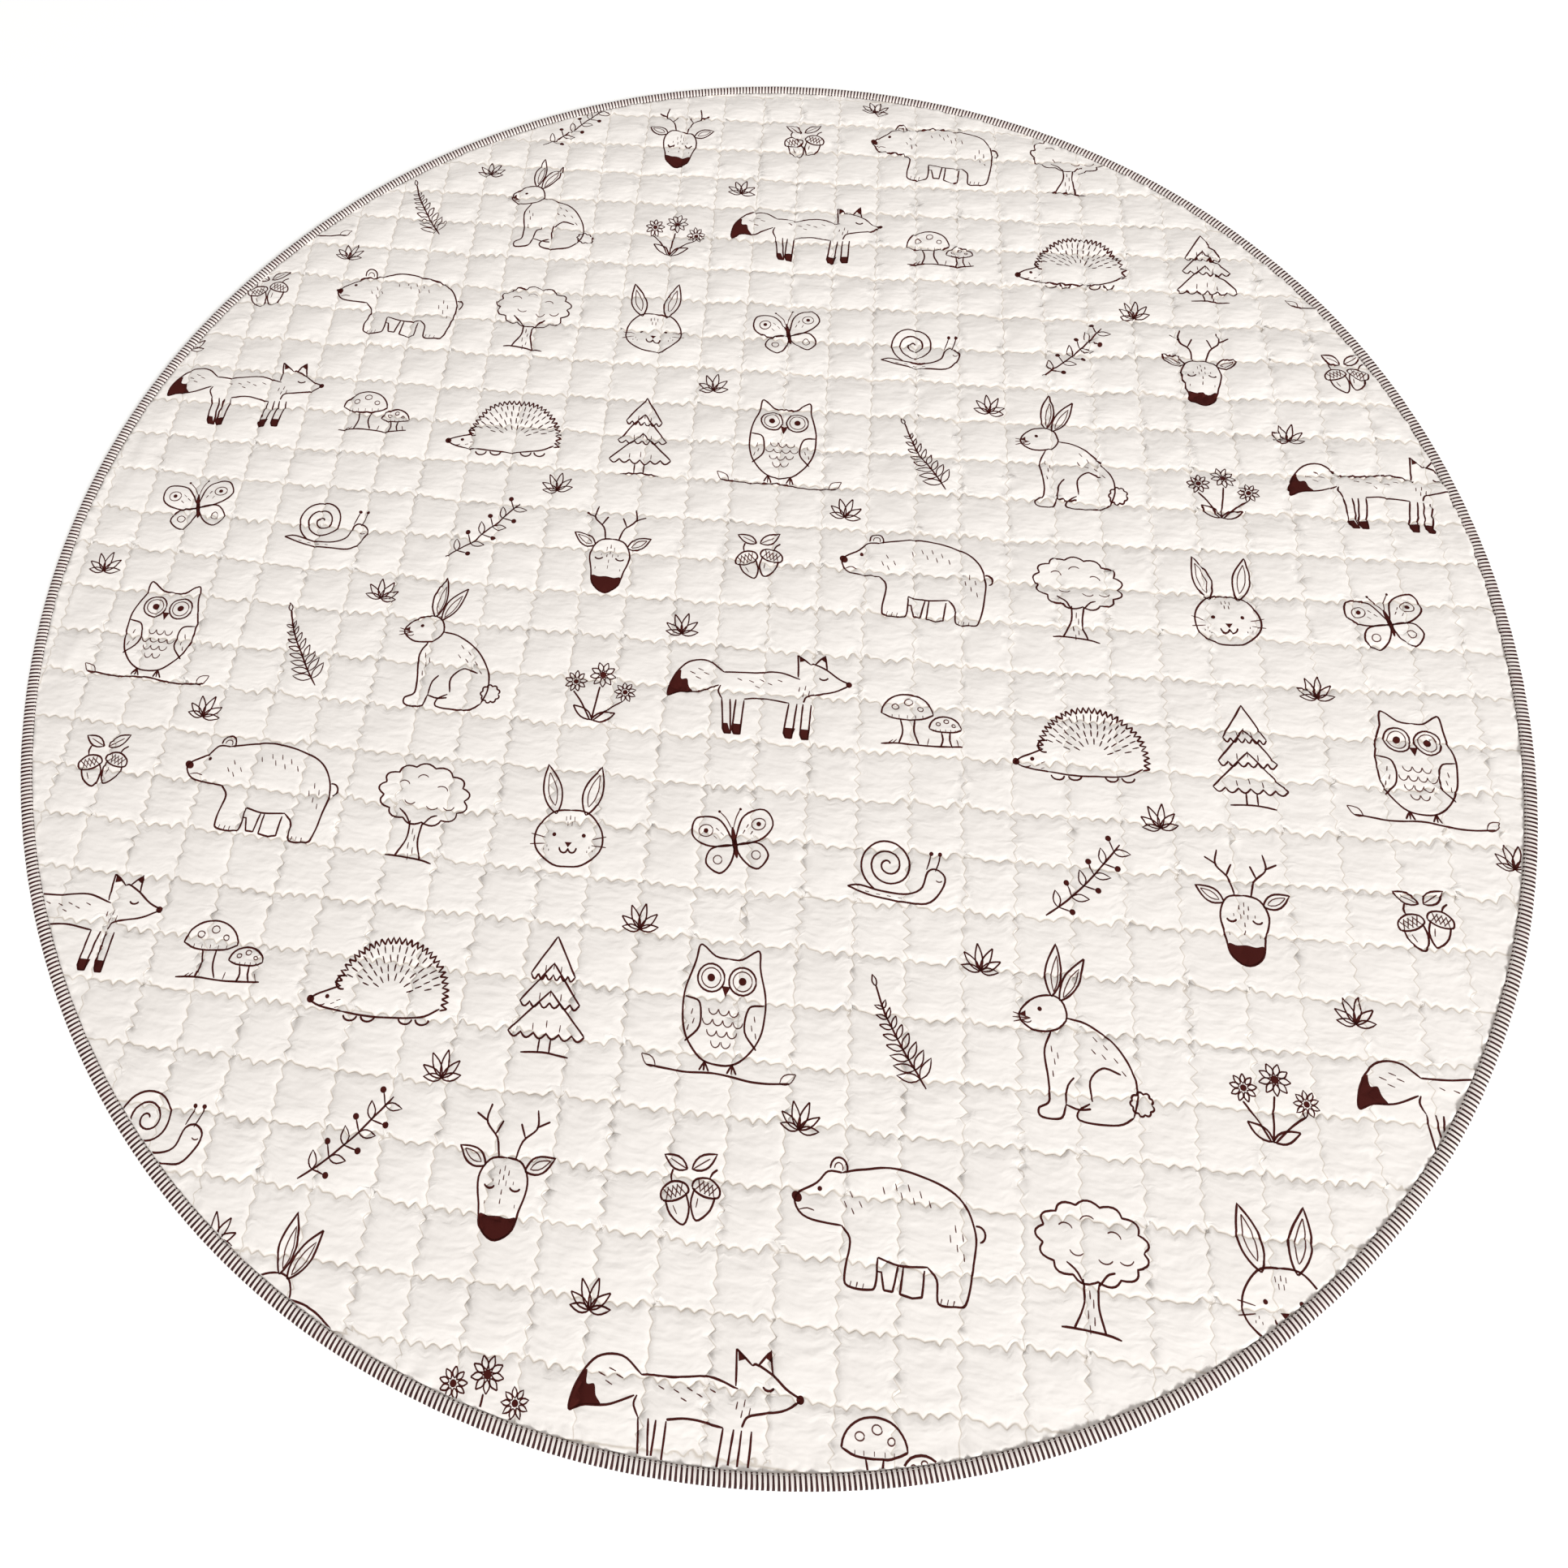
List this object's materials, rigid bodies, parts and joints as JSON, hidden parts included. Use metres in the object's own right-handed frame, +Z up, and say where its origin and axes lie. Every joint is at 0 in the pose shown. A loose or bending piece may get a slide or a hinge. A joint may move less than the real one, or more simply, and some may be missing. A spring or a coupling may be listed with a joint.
{
  "type": "baby play mat",
  "caption": "Round quilted cotton play mat for a baby, with raised square cells and a striped binding folded over its edge.",
  "frame": {"origin": "on the floor, under the middle of the box round the mat", "axes": "+Z up out of the quilted face; the quilting lines run along X and Y; -Y is the side nearest the viewer in the picture"},
  "size_m": [1.4914, 1.4974, 0.0093],
  "materials": {
    "quilted_cotton": "soft matte off-white cotton, quilted",
    "striped_binding": "matte cotton strip, narrow dark brown stripes on white",
    "printed_motifs": "matte dark brown print on the cotton",
    "sewing_thread": "matte off-white sewing thread"
  },
  "bodies": {
    "root": {"quilted_pad": "quilted_cotton", "edge_binding": "striped_binding"}
  },
  "joints": []
}
